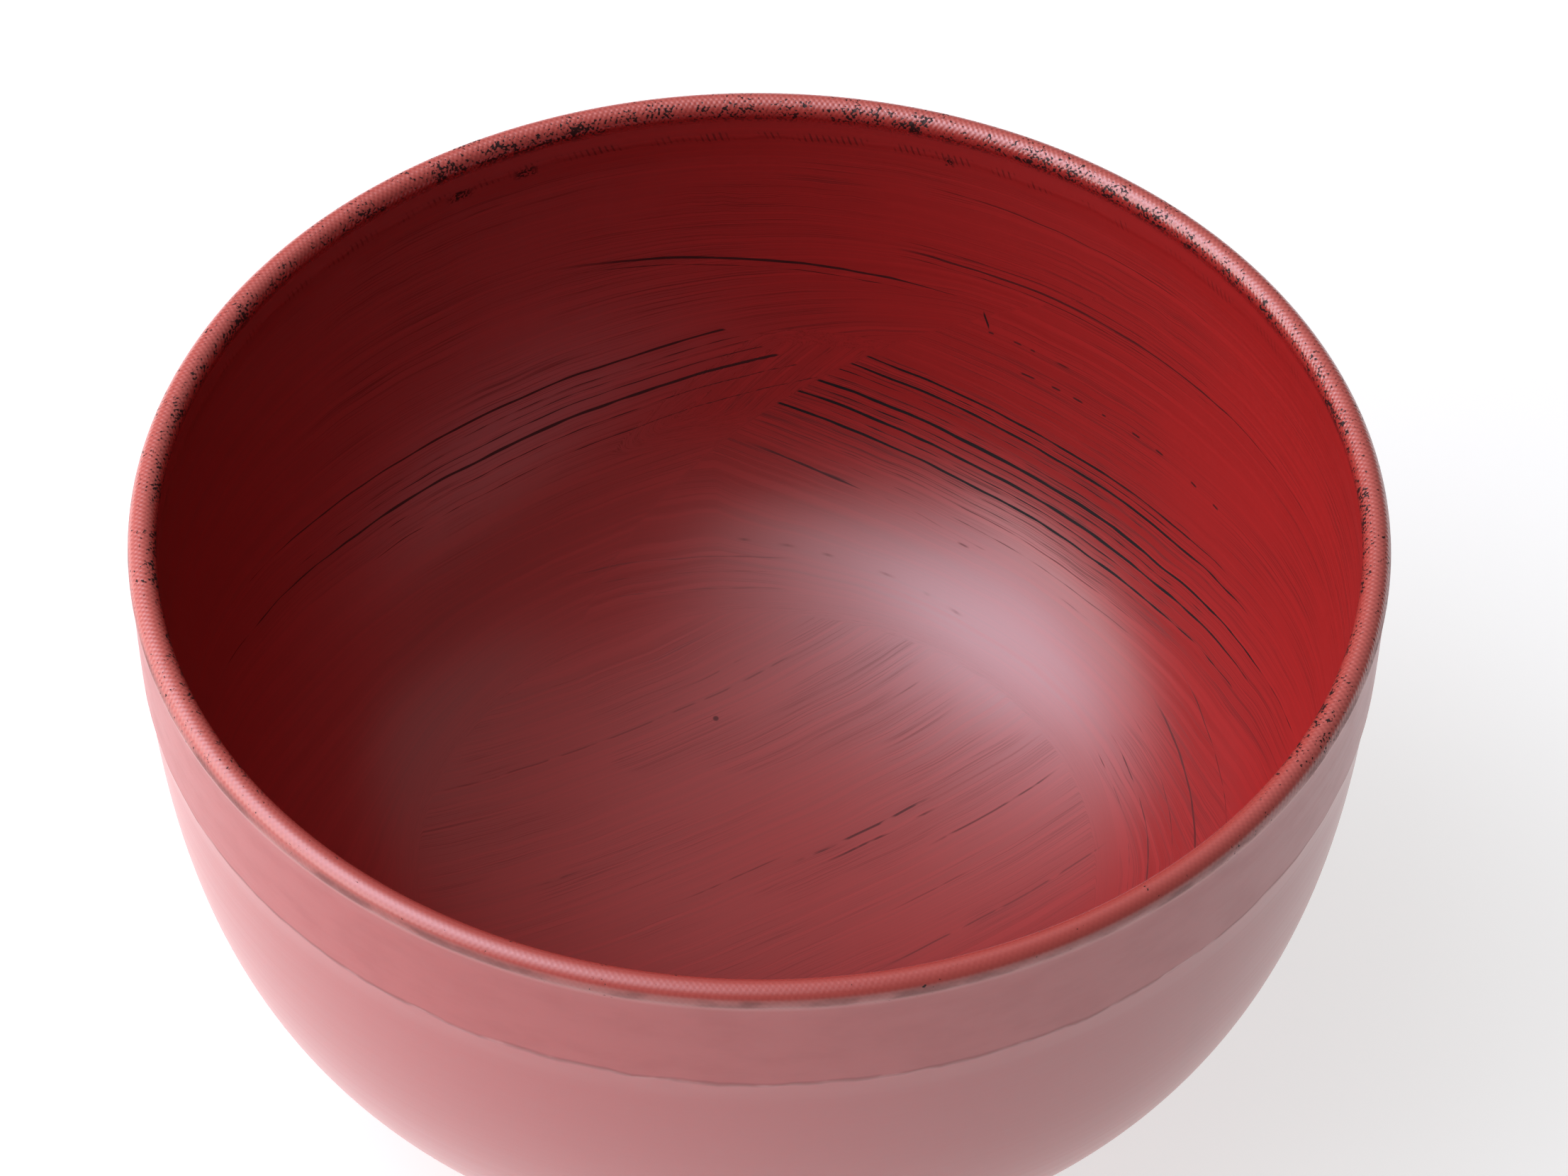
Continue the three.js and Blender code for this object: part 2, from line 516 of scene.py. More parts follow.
# Brush sweeps on the wall. Angles are degrees round from the back of the bowl, to the right in the
# photograph, and depths are millimetres of reach. A sweep starts at an edge, which may lean, sags
# round the bowl and runs out of ink. A line is its depth where it lies lowest, half its width and
# its ink. The two sets of lines on the right start alike.
rightStart = {"side": 1, "start": 12.3, "leanDepth": 29.5, "lean": -1.6, "fadeIn": 0.4,
              "turn": 44.1, "sag": 0.0032, "top": 31.5}
sweeps = {
    "right": {
        **rightStart, "full": 41, "end": 100, "bottom": 45.8, "dark": 1.0, "fine": 0.5,
        "lines": [(33.0, 0.16, 0.8), (33.7, 0.09, 0.5), (34.5, 0.18, 0.9), (35.6, 0.09, 0.5),
                  (36.7, 0.09, 0.5), (37.65, 0.22, 1.2), (38.6, 0.1, 0.6), (39.6, 0.2, 1.0),
                  (40.6, 0.1, 0.55), (41.7, 0.18, 0.95)]},
    "rightThin": {
        **rightStart, "full": 44, "end": 105, "bottom": 48.5, "dark": 0.6, "fine": 0.0,
        "lines": [(32.4, 0.08, 0.5), (35.05, 0.08, 0.5), (37.1, 0.08, 0.5), (39.1, 0.08, 0.5),
                  (41.1, 0.08, 0.5), (42.5, 0.09, 0.55), (43.4, 0.08, 0.5), (44.3, 0.09, 0.5),
                  (45.7, 0.08, 0.4), (47.2, 0.08, 0.35)]},
    "left": {
        "side": -1, "start": -1.0, "leanDepth": 30.0, "lean": -2.0, "fadeIn": 0.4, "full": 30,
        "end": 100, "turn": 38.2, "sag": 0.0032, "top": 29.8, "bottom": 41.0, "dark": 0.9,
        "fine": 0.25,
        "lines": [(31.25, 0.17, 0.95), (32.5, 0.09, 0.5), (33.3, 0.08, 0.4), (34.35, 0.1, 0.6),
                  (35.7, 0.21, 1.15), (37.3, 0.09, 0.5), (39.25, 0.09, 0.45)]},
    "back": {
        "side": 1, "start": -26, "fadeIn": 14, "full": 8, "end": 28, "turn": 40, "sag": 0.0009,
        "top": 19.0, "bottom": 22.6, "dark": 0.9, "fine": 0.15,
        "lines": [(20.5, 0.2, 1.1), (21.4, 0.08, 0.5)]},
    "rightHigh": {
        "side": 1, "start": 13, "fadeIn": 6, "full": 40, "end": 95, "turn": 42, "sag": 0.00064,
        "top": 14.35, "bottom": 18.5, "dark": 0.8, "fine": 0.2,
        "lines": [(15.5, 0.08, 0.5), (16.6, 0.16, 1.0), (17.4, 0.08, 0.5)]},
    "rightTop": {
        "side": 1, "start": 16, "fadeIn": 6, "full": 40, "end": 66, "turn": 57, "sag": 0.0005,
        "top": 6.3, "bottom": 9.3, "dark": 0.7, "fine": 0.15,
        "lines": [(8.0, 0.1, 0.7)]},
    "backLow": {
        "side": 1, "start": -3, "fadeIn": 6, "full": 9, "end": 18, "turn": 39.7, "sag": 0.0039,
        "top": 45.2, "bottom": 50.1, "dark": 0.8, "fine": 0.15,
        "lines": [(47.1, 0.17, 0.9)]},
    "leftLow": {
        "side": -1, "start": -6, "fadeIn": 6, "full": 20, "end": 45, "turn": -10, "sag": 0.0012,
        "top": 50.5, "bottom": 58.0, "dark": 0.35, "fine": 0.12,
        "lines": [(52.8, 0.13, 0.55), (54.4, 0.09, 0.4), (56.3, 0.09, 0.45)]},
    "rightLow": {
        "side": 1, "start": 66, "fadeIn": 6, "full": 90, "end": 132, "turn": 84, "sag": 0.0002,
        "top": 42.0, "bottom": 58, "dark": 0.7, "fine": 0.25,
        "lines": [(43.4, 0.09, 0.5), (47.5, 0.14, 0.85), (50.3, 0.08, 0.4), (53.2, 0.1, 0.5),
                  (55.4, 0.08, 0.4)]},
}

# How the ink of a sweep shows; a pair is where a soft step starts and ends
sweepInk = {"broken": 1.1, "shows": (0.1, 0.45), "core": (0.0, 0.3), "fineEnds": (0.12, 0.2),
            "early": 0.2}     # degrees by which the soft start comes before the edge


def pastStart(along, reach, sweep):  # degrees past the edge where a sweep starts
    past = along - sweep["start"]
    if "lean" in sweep:
        past = past - (reach - sweep["leanDepth"]) * sweep["lean"]
    return past


def sweepMask(spot, breaks, hair, sweep):
    along = spot.angle * sweep["side"]
    away = along - sweep["turn"]
    across = spot.reach + away * away * sweep["sag"] + spot.wobble
    height = sweep["bottom"] - sweep["top"]
    place = (across - sweep["top"]) / height
    stops = [(0, 0), (1, 0)]
    for depth, halfWidth, level in sweep["lines"]:
        middle, half = (depth - sweep["top"]) / height, halfWidth / height
        stops += [(middle - half, 0), (middle, level), (middle + half, 0)]
    ink = spot.paint.ramp(place, stops)
    spent = along.rise(sweep["full"], sweep["end"])
    left = ink - spent + (breaks - 0.5) * sweepInk["broken"]
    lines = left.rise(*sweepInk["shows"]) * ink.rise(*sweepInk["core"])
    fine = hair * place.within(0, 1, *sweepInk["fineEnds"]) * (1 - spent) * sweep["fine"]
    begun = pastStart(along, spot.reach, sweep).rise(-sweepInk["early"], sweep["fadeIn"])
    return (lines * sweep["dark"]).most(fine) * begun


# Chains of short dashes on the wall. Each is a line through one angle and depth with a slope in
# millimetres a degree; a mark on it is its angle, half its length in degrees and its ink.
chains = [
    {"angle": 45.0, "depth": 26.95, "slope": 0.012, "halfWidth": 0.15, "dark": 0.9,
     "marks": [(30.9, 1.2, 1.0), (34.5, 0.8, 1.0), (37.4, 0.9, 1.0), (41.0, 0.4, 0.8),
               (45.6, 0.8, 1.0), (49.2, 0.8, 1.0), (55.0, 0.7, 0.9), (59.0, 0.7, 0.9)]},
    {"angle": 30.0, "depth": 23.6, "slope": 0.04, "halfWidth": 0.16, "dark": 0.8,
     "marks": [(25.8, 0.5, 0.8), (29.0, 0.7, 0.9), (30.9, 0.5, 0.7), (34.7, 1.6, 0.6)]},
    {"angle": 15.0, "depth": 52.4, "slope": 0.095, "halfWidth": 0.2, "dark": 0.5,
     "marks": [(-2.3, 1.9, 0.38), (4.1, 2.8, 0.34), (10.3, 2.0, 0.36), (19.7, 3.2, 0.3),
               (26.8, 1.8, 0.25), (32.4, 3.0, 0.3)]},
    {"angle": 25.05, "depth": 22.15, "slope": 1.8, "halfWidth": 0.35, "dark": 1.0,
     "marks": [(25.05, 0.6, 1.0)]},
    {"angle": 29.1, "depth": 47.1, "slope": 0.05, "halfWidth": 0.15, "dark": 0.5,
     "marks": [(29.1, 1.4, 0.6)]},
]
chainInk = {"margin": 2.5, "shows": (0.1, 0.5), "core": 0.3}


def chainMask(spot, chain):
    low = chain["marks"][0][0] - chainInk["margin"]
    high = chain["marks"][-1][0] + chainInk["margin"]
    stops = [(0, 0), (1, 0)]
    for middle, halfLength, ink in chain["marks"]:
        ends = ((middle - halfLength, 0), (middle, ink), (middle + halfLength, 0))
        stops += [((place - low) / (high - low), level) for place, level in ends]
    marks = spot.paint.ramp((spot.angle - low) / (high - low), stops).rise(*chainInk["shows"])
    slope = (spot.angle - chain["angle"]) * chain["slope"]
    across = abs(spot.reach + spot.wobble - slope - chain["depth"])
    core = across.rise(chain["halfWidth"], chain["halfWidth"] * chainInk["core"])
    return marks * core * chain["dark"]


# Straight strokes on the floor, along a direction turned up from the right. A line is its place
# across the strokes, where it starts and ends along them, half its width and how black it is.
floorStrokes = {
    "turned": 29.5, "dark": 0.75, "fine": 0.3,
    "length": 60, "gap": 0.3, "seed": 7.5,              # of the fine streaks
    "patches": (0.4, 0.6), "breaks": (0.36, 0.5), "ends": (5, 3), "core": 0.4,
    "lines": [(24.3, -26, 19, 0.13, 0.5), (26.5, 4, 14, 0.1, 0.4), (14.3, 22, 29, 0.12, 0.5),
              (10.25, -22, -14, 0.13, 0.5), (2.4, -9, 5, 0.12, 0.6), (1.2, 4, 22, 0.2, 0.95),
              (-0.35, 6, 22, 0.18, 0.9), (-4.1, 17, 34, 0.15, 0.8), (-9.4, 9, 22, 0.12, 0.5),
              (-15.6, 4, 33, 0.15, 0.7)],
}


def floorMask(spot, breaks, hair, patches):
    mask = hair * patches.rise(*floorStrokes["patches"]) * floorStrokes["fine"]
    for place, start, end, halfWidth, black in floorStrokes["lines"]:
        line = abs(spot.floorAcross - place).rise(halfWidth, halfWidth * floorStrokes["core"])
        line = line * spot.floorAlong.within(start, end, *floorStrokes["ends"])
        broken = line * breaks.rise(*floorStrokes["breaks"])
        mask = mask.most(broken * black * floorStrokes["dark"])
    return mask


# A black spot on the floor, in millimetres
blackSpot = {"x": -4.5, "y": 22.3, "radius": 0.4, "core": 0.5, "dark": 0.7}


def spotMask(spot):
    awayX, awayY = spot.x - blackSpot["x"], spot.y - blackSpot["y"]
    away = (awayX * awayX + awayY * awayY).math("SQRT")
    core = away.rise(blackSpot["radius"], blackSpot["radius"] * blackSpot["core"])
    return core * spot.inside * blackSpot["dark"]


# The red coat's parts in millimetres of reach. Two numbers are where a part starts softly and is
# full; four are its two ends and how soft each is.
zones = {
    "inside": (0.2, 1.2),
    "outside": (reachUnderLip + 0.3, reachUnderLip - 0.6),
    "lip": (reachUnderLip - 0.6, 0.9, 0.9, 1.2),
    "floor": (40, 50),
    "floorRadius": (37, 34.5),            # from the axis
    "front": (105, 150),                  # degrees from the back
    "axis": 0.1,                          # least distance from the axis that is counted
}

# The way the brush went, in millimetres and degrees
brush = {
    "wobble": 0.6, "wobbleSize": 8,       # how far lines stray, and over what length
    "round": 0.7, "gap": 0.4,             # length and spacing of the streaks round the wall
    "sagRight": 50, "sagLeft": 60,        # how far from its lowest place a streak still sags
    "sagZone": (12, 64, 18, 30),
    "meet": (-0.2, 0.3),                  # where the right sweep takes over from the left
    "detail": 2.5, "roughness": 0.65,
    "hair": (0.03, 0.008),                # how near to a streak's middle level a fine line is
    "breaks": (20, 20, 0.3), "patches": (4.5, 4.5, 0.05),
}

# Slanting streaks where the two large sweeps meet, and faint lines round the wall
hatching = {"past": (-15, -0.2, 5, 0.3), "reach": (27.3, 40.6, 2, 4), "slant": 0.9,
            "stretch": 0.05, "close": 2.4, "seed": 5.5, "fine": 0.25}
allOver = {"angle": (-62, 105, 15, 20), "reach": (3.8, 50, 2, 14), "patches": (0.35, 0.6),
           "fine": 0.42}


class Spot:  # where a point of the red coat lies
    def __init__(self, paint):
        self.paint = paint
        self.x, self.y, z = paint.place()
        radius = (self.x * self.x + self.y * self.y).math("SQRT").most(zones["axis"])
        self.aside, self.ahead = self.x / radius, self.y / radius
        self.angle = self.x.math("ARCTAN2", self.y) * math.degrees(1)
        self.reach = paint.wire("ShaderNodeAttribute", {"attribute_name": "reach"}, out="Fac")
        self.inside = self.reach.rise(*zones["inside"])
        self.outside = self.reach.rise(*zones["outside"])
        self.onLip = self.reach.within(*zones["lip"])
        self.onFloor = radius.rise(*zones["floorRadius"]) * self.reach.rise(*zones["floor"])
        self.front = abs(self.angle).rise(*zones["front"])
        size = brush["wobbleSize"]
        stray = paint.noise(paint.vector(self.x / size, self.y / size, z / size))
        self.wobble = (stray - 0.5) * brush["wobble"]
        turned = math.radians(floorStrokes["turned"])
        self.floorAlong = self.x * math.cos(turned) + self.y * math.sin(turned)
        self.floorAcross = self.y * math.cos(turned) - self.x * math.sin(turned) + self.wobble

    def patches(self, around, down, detail=1.0, roughness=0.5):  # noise that follows the surface
        way = self.paint.vector(self.aside * around, self.ahead * around, self.reach / down)
        return self.paint.noise(way, detail, roughness)


def brushWay(spot):  # round the wall with a sag, aslant where sweeps meet, straight on the floor
    paint, right, left = spot.paint, sweeps["right"], sweeps["left"]
    past = pastStart(spot.angle, spot.reach, right)
    awayRight = abs(spot.angle - right["turn"]).least(brush["sagRight"])
    awayLeft = abs(spot.angle + left["turn"]).least(brush["sagLeft"])
    square = awayLeft * awayLeft
    square = square + (awayRight * awayRight - square) * past.rise(*brush["meet"])
    across = spot.reach + square * spot.reach.within(*brush["sagZone"]) * right["sag"] + spot.wobble
    wallWay = paint.vector(spot.aside * brush["round"], spot.ahead * brush["round"],
                           across / brush["gap"])
    hatch = past.within(*hatching["past"]) * spot.reach.within(*hatching["reach"])
    slant = hatching["slant"]
    hatchWay = paint.vector((spot.angle - spot.reach * slant) * hatching["stretch"],
                            hatching["seed"],
                            (spot.angle * slant + spot.reach) * hatching["close"])
    floorWay = paint.vector(spot.floorAlong / floorStrokes["length"], floorStrokes["seed"],
                            spot.floorAcross / floorStrokes["gap"])
    wall = paint.blendVector(hatch, wallWay, hatchWay)
    return paint.blendVector(spot.onFloor, wall, floorWay), hatch


def brushMarks(spot):  # the streaks, and the black that shows between them
    paint = spot.paint
    way, hatch = brushWay(spot)
    streak = paint.noise(way, brush["detail"], brush["roughness"])
    hair = abs(streak - 0.5).rise(*brush["hair"])
    breaks = paint.noise(paint.scaled(way, brush["breaks"]))
    patches = paint.noise(paint.scaled(way, brush["patches"]))
    black = hair * hatch * hatching["fine"]
    for sweep in sweeps.values():
        black = black.most(sweepMask(spot, breaks, hair, sweep))
    for chain in chains:
        black = black.most(chainMask(spot, chain))
    faint = hair * patches.rise(*allOver["patches"]) * allOver["fine"]
    faint = faint * spot.angle.within(*allOver["angle"]) * spot.reach.within(*allOver["reach"])
    black = black.most(faint) * (1 - spot.onFloor)
    black = black.most(floorMask(spot, breaks, hair, patches) * spot.onFloor) * spot.inside
    return streak, black.most(spotMask(spot))


# The cloth's inner edge: thread ends that lean along it, and a few blots. A blot is its angle and
# half its width in degrees.
clothEnds = {
    "threads": 544, "lean": 3.2, "tick": (0.1, 0.9), "worn": (0.42, 0.6), "dark": 0.55,
    "zone": (reachEdgeInside - 0.9, reachEdgeInside + 0.7, 0.4, 0.5),
    "back": (95, 20),                     # degrees from the back where they come and go
    "blots": [(-32.4, 1.9), (-24.9, 1.7), (19.5, 0.7)], "blotCore": 0.3, "blotDark": 0.95,
    "blotShows": (0.58, 0.67), "blotZone": (reachEdgeInside - 0.5, reachEdgeInside + 1.3, 0.5, 0.5),
}


def clothEndMarks(spot, wear, specks):
    turns = spot.angle * math.radians(clothEnds["threads"])
    ticks = (turns - spot.reach * clothEnds["lean"]).math("SINE").rise(*clothEnds["tick"])
    ends = ticks * wear.rise(*clothEnds["worn"]) * spot.reach.within(*clothEnds["zone"])
    black = ends * abs(spot.angle).rise(*clothEnds["back"]) * clothEnds["dark"]
    atEdge = spot.reach.within(*clothEnds["blotZone"])
    for middle, halfWidth in clothEnds["blots"]:
        near = abs(spot.angle - middle).rise(halfWidth, halfWidth * clothEnds["blotCore"])
        blots = specks.rise(*clothEnds["blotShows"]) * near * atEdge
        black = black.most(blots * clothEnds["blotDark"])
    return black


# The lip, where the cloth's weave shows and the red has worn. Its rubbed colour is partly that wear
# and partly painted light, full on the crown and outer half that face the lamps and less at the
# front as painted shade. A worn place is its angle, half its width in degrees and its amount.
lipLook = {
    "threads": 640, "lean": 7.0, "crossLean": 9.1,      # the two ways that the threads lean
    "weave": 0.25, "frontWeave": 0.25, "weaveHeight": 0.028,
    "roughness": 0.1, "smooth": 0.07, "roughZone": (-1.0, reachCrown - 0.8),
    # Rubbed colour: partly wear, partly painted light over the crown and outer half, with painted
    # shade at the front
    "rubbedAndLit": 0.75, "rubbedFrontShade": 0.25, "rubbedThreads": 0.5, "rubbedAndLitZone": (0.2, reachCrown),
    "wear": (16, 2.5, 2.0), "speck": (210, 0.26), "blot": (75, 0.7),    # how fine the patches are
    "wearShare": 0.5, "speckShare": 0.8, "blotShare": 0.45, "threadShare": 0.1, "frontShare": 0.1,
    "worn": [(-32, 7, 1.0), (-20, 4, 0.7), (16, 4, 0.7), (30, 6, 1.0), (44, 7, 0.7), (118, 8, 0.9)],
    "wornShare": 0.07, "innerShare": 0.11, "innerZone": (reachCrown, 1.2, 1.6, 0.7),
    "shows": (0.775, 0.86), "dark": 0.95,
}


def lipWeave(spot):  # crossing threads, weaker at the front
    turns = spot.angle * math.radians(lipLook["threads"])
    one = (turns + spot.reach * lipLook["lean"]).math("SINE")
    other = (turns - spot.reach * lipLook["crossLean"]).math("SINE")
    return (one + other) * (1 - spot.front * (1 - lipLook["frontWeave"])) * lipLook["weave"]


def lipMarks(spot, threads, wear, specks):  # black in the gaps between threads, more inside
    worn = (wear - 0.5) * lipLook["wearShare"] + specks
    worn = worn - threads * lipLook["threadShare"] - spot.front * lipLook["frontShare"]
    for middle, halfWidth, amount in lipLook["worn"]:
        near = abs(spot.angle - middle).rise(halfWidth, 0)
        worn = worn + near * (lipLook["wornShare"] * amount)
    worn = worn + spot.reach.within(*lipLook["innerZone"]) * lipLook["innerShare"]
    return worn.rise(*lipLook["shows"]) * spot.onLip * lipLook["dark"]


# Outside: a soft grey line under the lip, painted as the lip's shadow; the cloth's edge, a dark
# line that is partly black worn through and partly painted shade at its step; and faint mottling on
# the band above it
bandLook = {
    "mottle": (11, 2.6, 3.0, 0.6),        # how fine it is round and down, its detail and roughness
    "zone": (reachEdgeOutside - 0.4, reachEdgeOutside + 0.4),
    "edge": (0.6, 0.1), "edgeMottle": (0.25, 0.5), "edgeWornAndShade": 0.34,
    "fadedMottle": (0.35, 0.75), "fadedMost": 0.07, "fadedLeast": 0.02,
    "lipShadow": reachUnderLip + 0.55, "lipShadowEdge": (0.85, 0.2),
    "lipShadowMottle": (0.4, 0.65), "lipShadowMost": 0.3, "lipShadowLeast": 0.25,
    "roughness": 0.03, "dull": 0.1,
}


def bandMarksAndLipShadow(spot, band):
    mottle = spot.patches(*bandLook["mottle"])
    # The cloth's edge: partly black worn through, partly painted shade over the step
    edge = abs(spot.reach - reachEdgeOutside).rise(*bandLook["edge"])
    edge = edge * mottle.rise(*bandLook["edgeMottle"]) * bandLook["edgeWornAndShade"]
    faded = mottle.rise(*bandLook["fadedMottle"]) * bandLook["fadedMost"] + bandLook["fadedLeast"]
    # Painted shadow: a mottled grey line just under the lip
    line = abs(spot.reach - bandLook["lipShadow"]).rise(*bandLook["lipShadowEdge"])
    lipShadowGrey = mottle.rise(*bandLook["lipShadowMottle"]) * bandLook["lipShadowMost"]
    return ((band * faded).most(edge) * spot.outside).most(line * (lipShadowGrey + bandLook["lipShadowLeast"]))


# Red lacquer over black
lacquer = {
    "red": (0.46, 0.0166, 0.0157, 1),
    "deepRed": (0.26, 0.0097, 0.0091, 1),
    "rubbedAndLit": (0.66, 0.135, 0.105, 1),    # the lip, dulled by handling and lighter as painted light where it faces the lamps
    "black": (0.0055, 0.0045, 0.005, 1),
    "roughness": 0.30,
    "streakRough": 0.1,       # how much the streaks change the roughness
    "blackRough": 0.25,       # how much rougher the black is
    "ior": 1.9,
    "grooves": 0.004,         # depth of the brush marks in millimetres
    "bare": 0.7,              # share of the shine that is lost where the black lies bare
    "bareRoughness": 0.7,
}

# How red the coat is, from deep red at 0 to red at 1. The streaks inside are the red's own
# thickness;
# the rest is painted light and shade: outside it is redder, partly as painted light, lighter to the
# left and front and darker to the right and back, and inside it is lighter to the right and darker
# to the left and front
rednessAndPaintedLight = {"middle": 0.5, "outside": 0.32, "outsideRightShade": 0.1, "outsideBackShade": 0.18,
           "insideRightLight": 0.28, "insideFrontShade": 0.32}


def redThicknessAndPaintedLight(spot, streak):
    # Painted light and shade outside: lighter towards the left and front, darker towards the right
    # and back
    outside = spot.x * rednessAndPaintedLight["outsideRightShade"] + spot.y * rednessAndPaintedLight["outsideBackShade"]
    outside = rednessAndPaintedLight["outside"] - outside / bowl["rimRadius"]
    # Painted light and shade inside: lighter towards the right, darker towards the left and the
    # front
    inside = spot.x * rednessAndPaintedLight["insideRightLight"] + spot.y.least(0.0) * rednessAndPaintedLight["insideFrontShade"]
    inside = streak - 0.5 + inside / bowl["rimRadius"]
    return inside * spot.inside + outside * spot.outside + rednessAndPaintedLight["middle"]


def redLacquer():
    paint = newPaint("red_lacquer")
    spot = Spot(paint)
    streak, black = brushMarks(spot)
    threads = lipWeave(spot)
    wear = spot.patches(*lipLook["wear"])
    specks = (spot.patches(*lipLook["speck"]) * lipLook["speckShare"]
              + spot.patches(*lipLook["blot"]) * lipLook["blotShare"])
    band = spot.reach.rise(*bandLook["zone"])
    black = black.most(clothEndMarks(spot, wear, specks))
    black = black.most(lipMarks(spot, threads, wear, specks))
    black = black.most(bandMarksAndLipShadow(spot, band))

    # Deep red to red by the streaks and by the painted light and shade of the sides
    base = paint.blend(redThicknessAndPaintedLight(spot, streak), lacquer["deepRed"], lacquer["red"])
    # The lip's rubbed colour: wear, with painted light on the crown and outer half and painted
    # shade at the front
    rubbedAndLit = lipLook["rubbedAndLit"] - spot.front * lipLook["rubbedFrontShade"]
    rubbedAndLit = (rubbedAndLit + threads * lipLook["rubbedThreads"]) * spot.reach.rise(*lipLook["rubbedAndLitZone"])
    base = paint.blend(spot.onLip * rubbedAndLit, base, lacquer["rubbedAndLit"])
    base = paint.blend(black.least(1.0), base, lacquer["black"])

    lipRough = spot.reach.rise(*lipLook["roughZone"]) * lipLook["roughness"] - lipLook["smooth"]
    rough = (streak - 0.5) * lacquer["streakRough"] + spot.onLip * lipRough
    rough = rough + band * spot.outside * bandLook["roughness"]
    rough = rough + black * lacquer["blackRough"] + lacquer["roughness"]
    height = streak * spot.inside * lacquer["grooves"]
    height = height + threads * spot.onLip * lipLook["weaveHeight"]
    normal = paint.wire("ShaderNodeBump", None,
                        {"Strength": 1.0, "Distance": mm, "Height": height})
    shiny = {"Base Color": base, "Roughness": rough, "IOR": lacquer["ior"], "Normal": normal}
    dull = black * lacquer["bare"] + band * spot.outside * bandLook["dull"]
    return paint.surface(shiny, dull, lacquer["bareRoughness"])


# The layers under the red and on the foot: a colour, how much of it the patches have, and the
# patches' size in millimetres
plainLooks = {
    "foot_lacquer": {"color": (0.007, 0.005, 0.005), "patch": 1.6, "roughness": 0.33, "size": 9},
    "black_lacquer": {"color": (0.007, 0.005, 0.005), "patch": 1.5, "roughness": 0.35, "size": 7},
    "putty": {"color": (0.07, 0.05, 0.04), "patch": 1.4, "roughness": 0.85, "size": 1.5},
    "cloth": {"color": (0.58, 0.46, 0.27), "patch": 0.8, "roughness": 0.9, "size": 0.6},
}
plainPatches = {"detail": 3.0, "shows": (0.3, 0.7)}


def plainLook(name):
    values = plainLooks[name]
    paint = newPaint(name)
    x, y, z = (part / values["size"] for part in paint.place())
    patch = paint.noise(paint.vector(x, y, z), plainPatches["detail"])
    patchColor = tuple(part * values["patch"] for part in values["color"])
    base = paint.blend(patch.rise(*plainPatches["shows"]), (*values["color"], 1), (*patchColor, 1))
    return paint.surface({"Base Color": base, "Roughness": values["roughness"]})


# Wood, with its grain along X; the sizes are millimetres along, across and up the grain
woodGrain = {"dark": (0.40, 0.22, 0.09, 1), "pale": (0.52, 0.31, 0.14, 1), "roughness": 0.7,
             "sizes": (18, 1.6, 2.2), "detail": 4.0, "shows": (0.35, 0.65)}


def woodLook():
    paint = newPaint("wood")
    x, y, z = (part / size for part, size in zip(paint.place(), woodGrain["sizes"]))
    grain = paint.noise(paint.vector(x, y, z), woodGrain["detail"])
    base = paint.blend(grain.rise(*woodGrain["shows"]), woodGrain["dark"], woodGrain["pale"])
    return paint.surface({"Base Color": base, "Roughness": woodGrain["roughness"]})


# Each finish with its look, the pieces that have it and the CAD nodes that they replace
finishes = {
    "red_lacquer": (redLacquer(), [redCoat], ["red_coat_inside", "red_coat_outside"]),
    "foot_lacquer": (plainLook("foot_lacquer"), [footCoat], ["foot_coat"]),
    "black_lacquer": (plainLook("black_lacquer"), [blackInside, blackOutside],
                      ["black_coat_inside", "black_coat_outside"]),
    "putty": (plainLook("putty"), [puttyInside, puttyOutside],
              ["rim_filler_inside", "rim_filler_outside"]),
    "cloth": (plainLook("cloth"), [rimCloth], ["rim_cloth"]),
    "wood": (woodLook(), [woodCore], ["wood_core"]),
}
for slotName, (look, pieces, nodes) in finishes.items():
    for piece in pieces:
        piece.data.materials.append(look)
    for name in nodes:
        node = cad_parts[name]
        node.data.materials.clear()
        node.data.materials.append(look)
print("materials: done")

# Stage: a pale floor that keeps a faint shadow, in a room that is white to the camera
stage = {
    "size": 4.0,
    "color": (0.85, 0.84, 0.82, 1),
    "white": (1, 1, 1, 1),
    "dimmed": 0.45,           # share of the floor's own light that the camera doesn't see
    "glow": 0.68,             # white added to it for the camera
    "mirrored": 0.82,         # and for reflections
    "room": 0.085,            # light from all round
}
bpy.ops.object.select_all(action="DESELECT")
bpy.ops.mesh.primitive_plane_add(size=stage["size"], location=(0, 0, 0))
floor = bpy.context.object
floor.name = "floor"
paint = newPaint("floor_white")
path = paint.node("ShaderNodeLightPath")
isCamera, isGlossy = (
    Wire(paint, path.outputs[name]) for name in ("Is Camera Ray", "Is Glossy Ray"))
lit = paint.wire("ShaderNodeBsdfDiffuse", None, {"Color": stage["color"]})
glow = paint.wire("ShaderNodeEmission", None, {"Color": stage["white"], "Strength": 1.0})
shaded = paint.wire("ShaderNodeMixShader", None, {0: isCamera * stage["dimmed"], 1: lit})
glowShare = isCamera * stage["glow"] + isGlossy * stage["mirrored"]
white = paint.wire("ShaderNodeMixShader", None, {0: glowShare, 2: glow})
both = paint.wire("ShaderNodeAddShader", None, {0: shaded, 1: white})
paint.node("ShaderNodeOutputMaterial", None, {0: both})
floor.data.materials.append(paint.owner)

room = Paint(bpy.data.worlds.new("room"))
isCamera = room.wire("ShaderNodeLightPath", out="Is Camera Ray")
dim, bright = (
    room.wire("ShaderNodeBackground", None, {"Color": stage["white"], "Strength": strength})
    for strength in (stage["room"], 1.0))
seen = room.wire("ShaderNodeMixShader", None, {0: isCamera, 1: dim, 2: bright})
room.node("ShaderNodeOutputWorld", None, {0: seen})
bpy.context.scene.world = room.owner

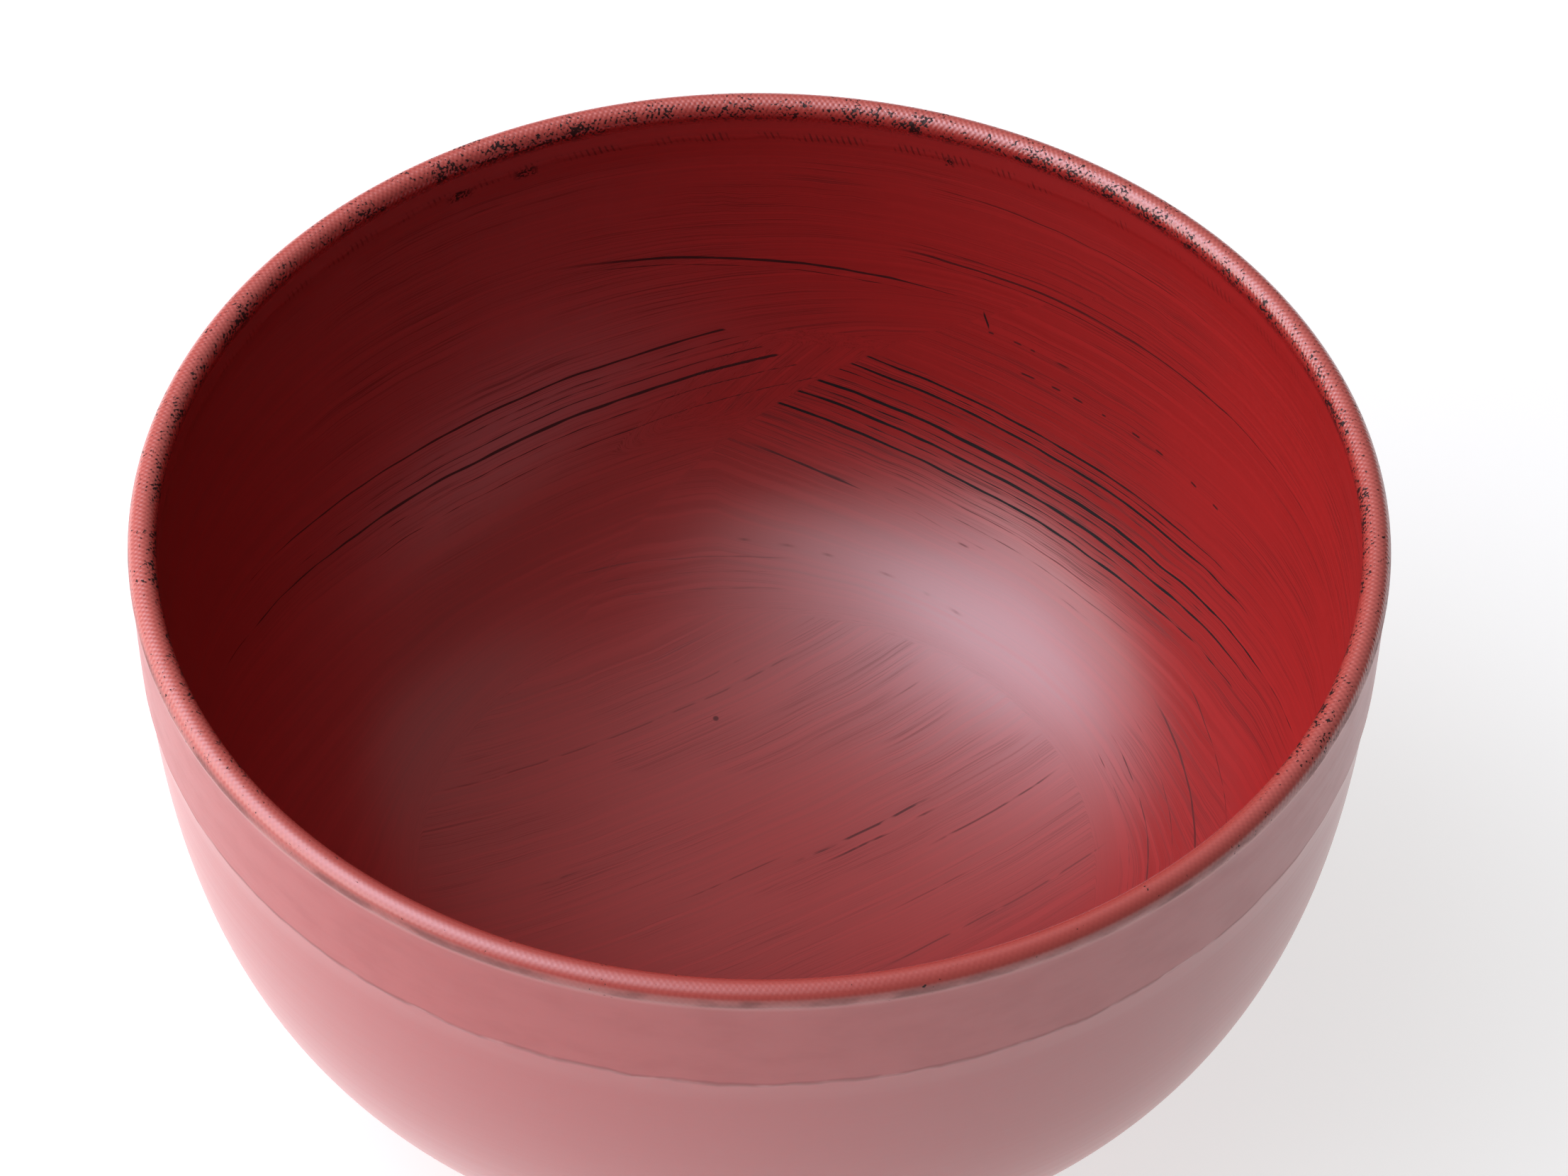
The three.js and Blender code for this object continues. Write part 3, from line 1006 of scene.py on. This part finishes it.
# Light: a large soft window on the left that is brighter towards its middle and its back, a low
# sill under it, and a weak fill behind. Azimuths are degrees round from the back, to the right.
lamps = {
    "window": {"azimuth": -94, "elevation": 56, "distance": 0.92, "size": (1.8, 1.5),
               "radiance": 0.5, "color": (0.99, 1.0, 1.03)},
    "windowMiddle": {"azimuth": -92, "elevation": 57, "distance": 0.9, "size": (1.15, 0.95),
                     "radiance": 1.0, "color": (0.97, 0.99, 1.13)},
    "windowHeart": {"azimuth": -94, "elevation": 57, "distance": 0.88, "size": (0.62, 0.5),
                    "radiance": 1.4, "color": (0.96, 0.98, 1.16)},
    "windowBack": {"azimuth": -78, "elevation": 60, "distance": 0.87, "size": (0.5, 0.45),
                   "radiance": 1.0, "color": (0.96, 0.98, 1.16)},
    "sill": {"azimuth": -97, "elevation": 24, "distance": 0.9, "size": (1.0, 0.4),
             "radiance": 2.3, "color": (1.0, 1.0, 1.0)},
    "fill": {"azimuth": 30, "elevation": 50, "distance": 1.3, "size": (1.6, 1.1),
             "radiance": 0.15, "color": (1.0, 1.0, 1.0)},
}
for name, values in lamps.items():
    azimuth, elevation = math.radians(values["azimuth"]), math.radians(values["elevation"])
    level = math.cos(elevation)
    towards = Vector((math.sin(azimuth) * level, math.cos(azimuth) * level, math.sin(elevation)))
    bpy.ops.object.light_add(type="AREA", location=towards * values["distance"])
    lamp = bpy.context.object
    lamp.name = name
    lamp.data.shape = "RECTANGLE"
    lamp.data.size, lamp.data.size_y = values["size"]
    lamp.data.energy = values["radiance"] * math.pi * values["size"][0] * values["size"][1]
    lamp.data.color = values["color"]
    lamp.rotation_mode = "QUATERNION"
    lamp.rotation_quaternion = (-towards).to_track_quat("-Z", "Y")
    lamp.visible_camera = False
print("stage: done")

# Camera, as the photograph was taken; its frame is 2212 by 1659. Places are in millimetres.
view = {"eye": (0, -353.2, 432.07), "aim": (2.378, 0, 58.563), "roll": 0.684, "lens": 122.06,
        "sensor": 36, "clip": (0.01, 20)}
bpy.ops.object.camera_add(location=Vector(view["eye"]) * mm)
camera = bpy.context.object
looking = Vector(view["aim"]) - Vector(view["eye"])
roll = Quaternion((0, 0, 1), math.radians(view["roll"]))
camera.rotation_mode = "QUATERNION"
camera.rotation_quaternion = looking.to_track_quat("-Z", "Y") @ roll
camera.data.sensor_width = view["sensor"]
camera.data.lens = view["lens"]
camera.data.clip_start, camera.data.clip_end = view["clip"]
bpy.context.scene.camera = camera
bpy.context.scene.view_settings.view_transform = "Standard"
